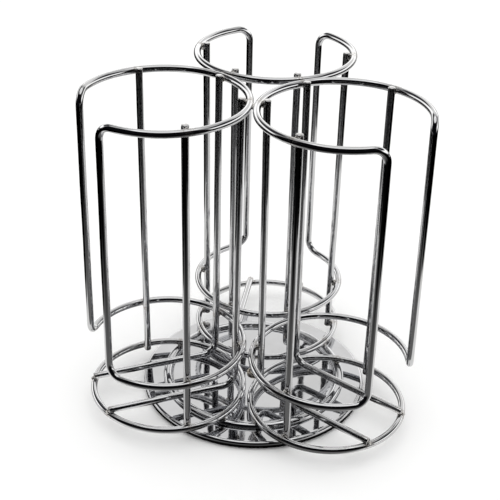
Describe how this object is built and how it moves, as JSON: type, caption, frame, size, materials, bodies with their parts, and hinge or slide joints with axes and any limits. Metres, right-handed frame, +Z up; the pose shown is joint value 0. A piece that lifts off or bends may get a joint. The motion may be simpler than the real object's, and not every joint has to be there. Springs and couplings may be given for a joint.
{
  "type": "rotating wire capsule carousel",
  "caption": "Free-standing chromed wire carousel: three open columns for stacked coffee discs on a turntable plate over a round ball-bearing base.",
  "frame": {"origin": "on the turning axis, at the lower face of the rubber pad, where the carousel meets the table", "axes": "+Z up along the turning axis; +Y towards the rear column, so the gap between the left and right columns faces -Y; +X to the right seen from -Y"},
  "size_m": [0.1872, 0.1728, 0.1922],
  "materials": {
    "chrome_wire": "bright chrome plate over drawn steel wire, about 4 mm thick",
    "chrome_base_plate": "bright mirror chrome on stamped steel sheet",
    "chrome_turntable": "bright mirror chrome on stamped steel sheet",
    "plated_rivet": "warm plated rivet head, slightly dulled",
    "zinc_washer": "zinc-plated steel",
    "retainer_brass": "stamped brass strip",
    "bearing_steel": "ground bearing balls",
    "pad_rubber": "matt black non-slip rubber"
  },
  "bodies": {
    "base": {"rubber_base_pad": "pad_rubber", "base_plate": "chrome_base_plate", "pivot_washer": "zinc_washer", "pivot_rivet": "plated_rivet"},
    "ball_cage": {"ball_retainer": "retainer_brass", "bearing_ball_01": "bearing_steel", "bearing_ball_02": "bearing_steel", "bearing_ball_03": "bearing_steel", "bearing_ball_04": "bearing_steel", "bearing_ball_05": "bearing_steel", "bearing_ball_06": "bearing_steel", "bearing_ball_07": "bearing_steel", "bearing_ball_08": "bearing_steel", "bearing_ball_09": "bearing_steel", "bearing_ball_10": "bearing_steel", "bearing_ball_11": "bearing_steel", "bearing_ball_12": "bearing_steel"},
    "carousel": {"turntable_plate": "chrome_turntable", "left_frame_loop": "chrome_wire", "left_base_ring": "chrome_wire", "left_side_upright_a": "chrome_wire", "left_side_upright_b": "chrome_wire", "left_floor_rod_a": "chrome_wire", "left_floor_rod_b": "chrome_wire", "right_frame_loop": "chrome_wire", "right_base_ring": "chrome_wire", "right_side_upright_a": "chrome_wire", "right_side_upright_b": "chrome_wire", "right_floor_rod_a": "chrome_wire", "right_floor_rod_b": "chrome_wire", "rear_frame_loop": "chrome_wire", "rear_base_ring": "chrome_wire", "rear_side_upright_a": "chrome_wire", "rear_side_upright_b": "chrome_wire", "rear_floor_rod_a": "chrome_wire", "rear_floor_rod_b": "chrome_wire"}
  },
  "joints": [
    {"name": "carousel_spin", "type": "hinge", "parent": "base", "child": "carousel", "pos_m": [0, 0, 0.005], "axis": [0, 0, 1], "continuous": true},
    {"name": "ball_cage_spin", "type": "hinge", "parent": "base", "child": "ball_cage", "pos_m": [0, 0, 0.006], "axis": [0, 0, 1], "continuous": true}
  ],
  "couplings": [
    {"joint": "ball_cage_spin", "follows": "carousel_spin", "ratio": 0.5}
  ]
}
